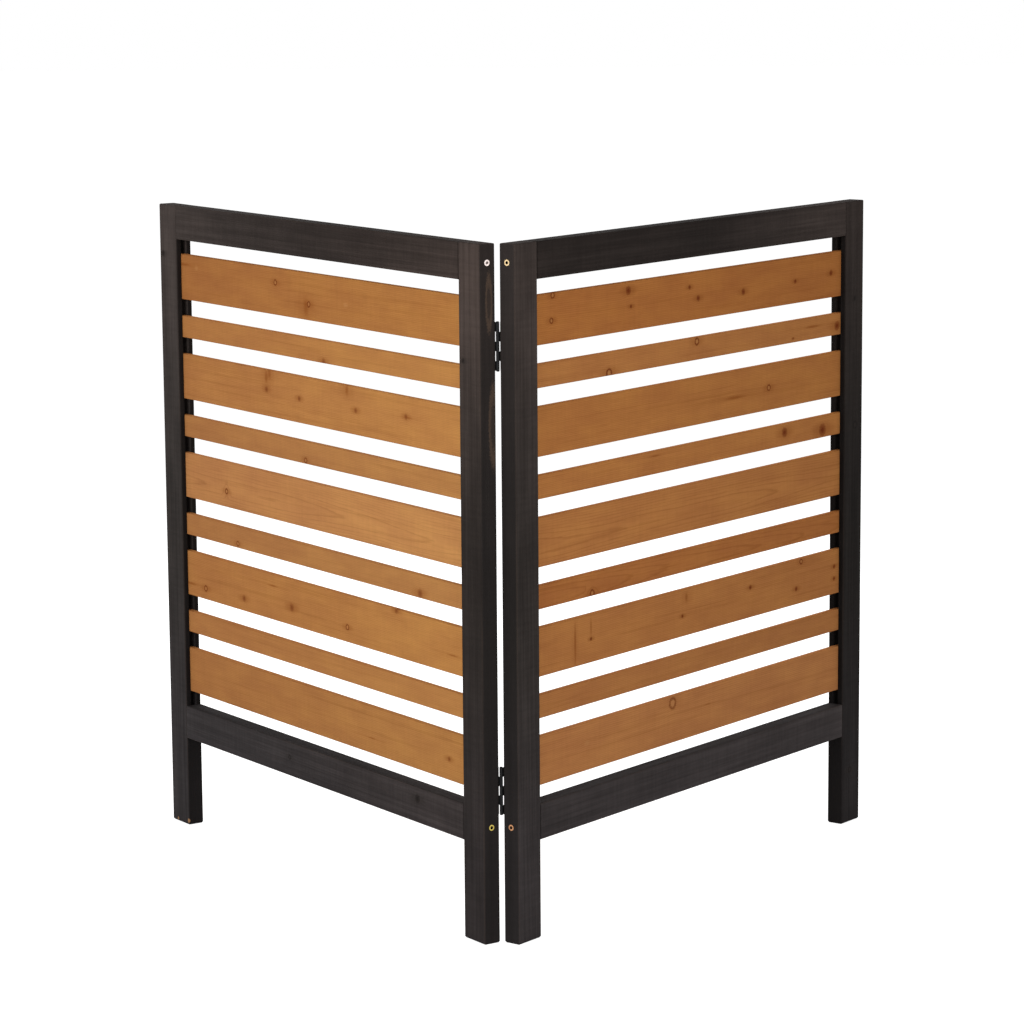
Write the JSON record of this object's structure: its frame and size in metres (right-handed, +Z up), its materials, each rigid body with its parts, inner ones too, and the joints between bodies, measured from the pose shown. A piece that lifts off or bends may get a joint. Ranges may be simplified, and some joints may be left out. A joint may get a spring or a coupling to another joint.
{
  "type": "air conditioner screen",
  "caption": "Folding slatted wood screen, hinged along the middle, that stands as a V to hide an outdoor air conditioner or bins and lets air through.",
  "frame": {"origin": "on the floor, under the middle of the box around the standing screen", "axes": "+Z up; -Y towards the hinge edge, the point of the V; +Y into the V's open side; +X to the right panel's side as seen from the hinge edge"},
  "size_m": [1.185, 0.7956, 1.0668],
  "materials": {
    "frame_wood": "charcoal-brown stain, matt, grain showing",
    "slat_wood": "orange-brown stain, satin, grain and knots showing",
    "hinge_metal": "black, semi-matt",
    "screw_metal": "yellow passivated zinc, dull",
    "dowel_wood": "bare beech",
    "brad_steel": "bare steel"
  },
  "bodies": {
    "left_panel": {"left_outer_post": "frame_wood", "left_inner_post": "frame_wood", "left_top_rail": "frame_wood", "left_bottom_rail": "frame_wood", "left_slat_1": "slat_wood", "left_slat_2": "slat_wood", "left_slat_3": "slat_wood", "left_slat_4": "slat_wood", "left_slat_5": "slat_wood", "left_slat_6": "slat_wood", "left_slat_7": "slat_wood", "left_slat_8": "slat_wood", "left_slat_9": "slat_wood", "upper_hinge_left_leaf": "hinge_metal", "lower_hinge_left_leaf": "hinge_metal", "left_rail_screws": "screw_metal", "left_dowels": "dowel_wood", "left_hinge_screws": "hinge_metal", "left_slat_brads": "brad_steel", "upper_hinge_pin": "hinge_metal"},
    "right_panel": {"right_outer_post": "frame_wood", "right_inner_post": "frame_wood", "right_top_rail": "frame_wood", "right_bottom_rail": "frame_wood", "right_slat_1": "slat_wood", "right_slat_2": "slat_wood", "right_slat_3": "slat_wood", "right_slat_4": "slat_wood", "right_slat_5": "slat_wood", "right_slat_6": "slat_wood", "right_slat_7": "slat_wood", "right_slat_8": "slat_wood", "right_slat_9": "slat_wood", "upper_hinge_right_leaf": "hinge_metal", "lower_hinge_right_leaf": "hinge_metal", "right_rail_screws": "screw_metal", "right_dowels": "dowel_wood", "right_hinge_screws": "hinge_metal", "right_slat_brads": "brad_steel", "lower_hinge_pin": "hinge_metal"}
  },
  "joints": [
    {"name": "panel_fold", "type": "hinge", "parent": "left_panel", "child": "right_panel", "pos_m": [0, -0.3819, 0.9134], "axis": [0, 0, 1], "range_deg": [-114, 72]}
  ]
}
